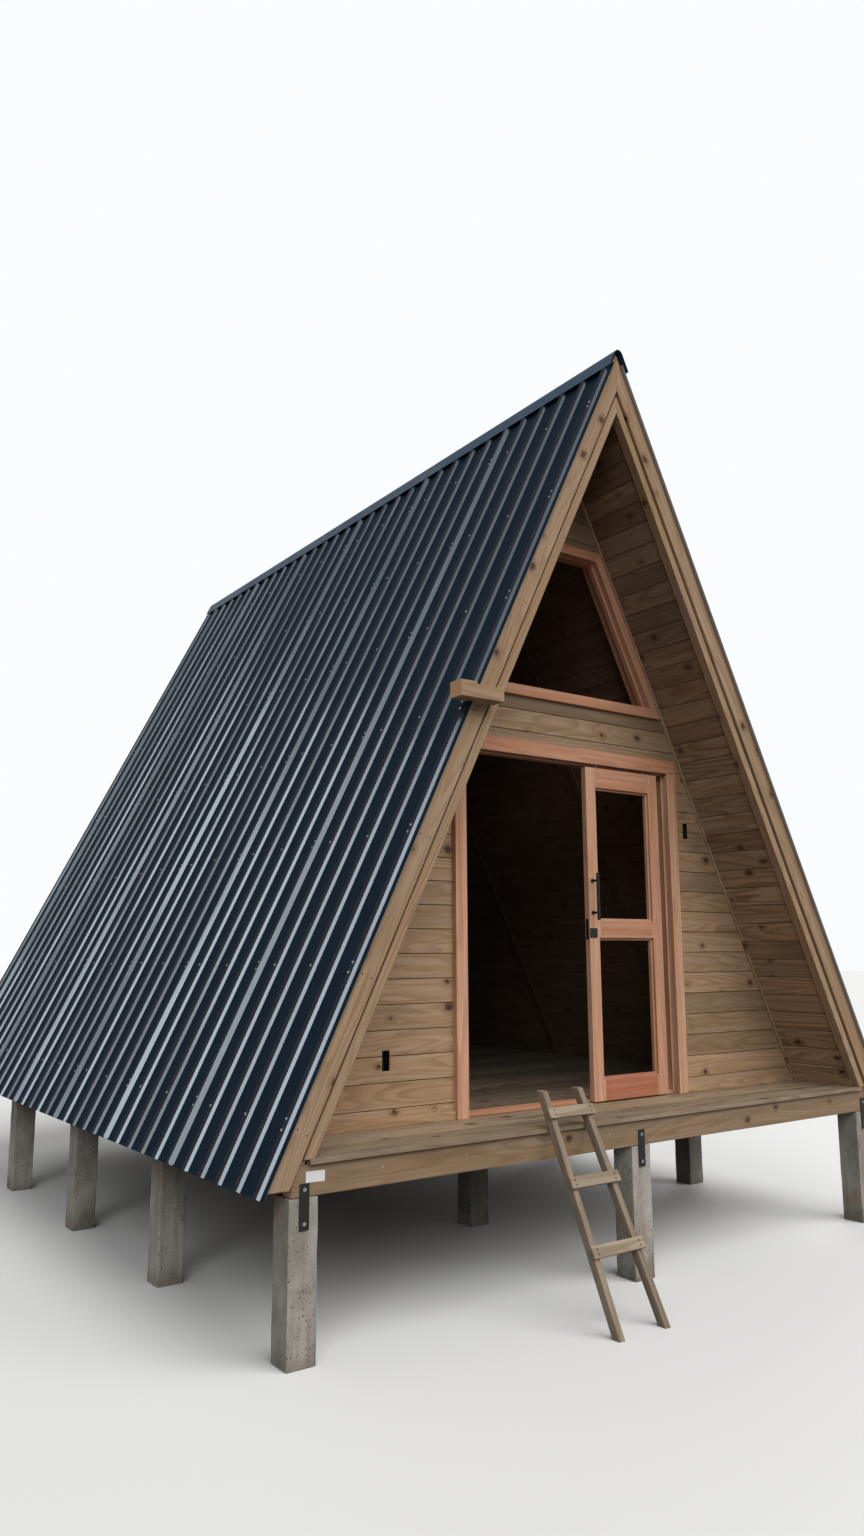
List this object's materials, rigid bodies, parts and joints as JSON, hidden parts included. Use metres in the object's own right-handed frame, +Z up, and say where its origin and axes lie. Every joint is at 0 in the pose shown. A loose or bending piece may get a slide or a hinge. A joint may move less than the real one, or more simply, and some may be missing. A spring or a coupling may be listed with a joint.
{
  "type": "a-frame cabin",
  "caption": "Small A-frame timber cabin on concrete piers, with a ribbed metal roof down to the floor, a boarded gable, a sliding door leaf and a leaning ladder.",
  "frame": {"origin": "centre of the foot of the middle pier, at ground level", "axes": "+Z up, +Y from the front gable to the back one along the ridge, +X to the right seen from the front"},
  "size_m": [4.72, 6.5795, 5.4608],
  "materials": {
    "pine": "treated pine boards, sawn, unpainted",
    "hardwood": "planed reddish hardwood, unvarnished",
    "old_wood": "grey weathered softwood",
    "roof_paint": "dark blue grey coil coating, semi-gloss",
    "concrete": "cast concrete, stained",
    "black_steel": "black painted steel",
    "track_metal": "mill finish aluminium",
    "hanger_steel": "zinc plated steel"
  },
  "bodies": {
    "cabin": {"piers_left": "concrete", "piers_middle": "concrete", "piers_right": "concrete", "pier_straps": "black_steel", "floor_beams": "pine", "floor_joists": "pine", "porch_deck": "pine", "room_floor": "pine", "rafters_left": "pine", "rafters_right": "pine", "battens_left": "pine", "battens_right": "pine", "lining_left": "pine", "lining_right": "pine", "front_barge_left": "pine", "front_barge_right": "pine", "front_trim_left": "pine", "front_trim_right": "pine", "back_barge_left": "pine", "back_barge_right": "pine", "front_wall_left": "pine", "front_wall_right": "pine", "front_wall_over_door": "pine", "front_wall_apex": "pine", "window_side_studs": "pine", "back_wall": "pine", "corner_trim_left": "pine", "corner_trim_right": "pine", "skirting": "pine", "cover_strips": "pine", "cross_block": "pine", "window_frame": "hardwood", "door_head": "hardwood", "door_jamb_left": "hardwood", "door_jamb_right": "hardwood", "door_sill": "hardwood", "ladder_stiles": "old_wood", "ladder_rungs": "old_wood", "roof_sheet_left": "roof_paint", "roof_sheet_right": "roof_paint", "ridge_cap": "roof_paint", "door_track": "track_metal"},
    "door_leaf": {"leaf_stiles": "hardwood", "leaf_rails": "hardwood", "leaf_pull": "black_steel", "leaf_lock": "black_steel", "leaf_hangers": "hanger_steel"}
  },
  "joints": [
    {"name": "leaf_slide", "type": "slide", "parent": "cabin", "child": "door_leaf", "axis": [-1, 0, 0], "range_m": [-0.098, 0.947]}
  ]
}
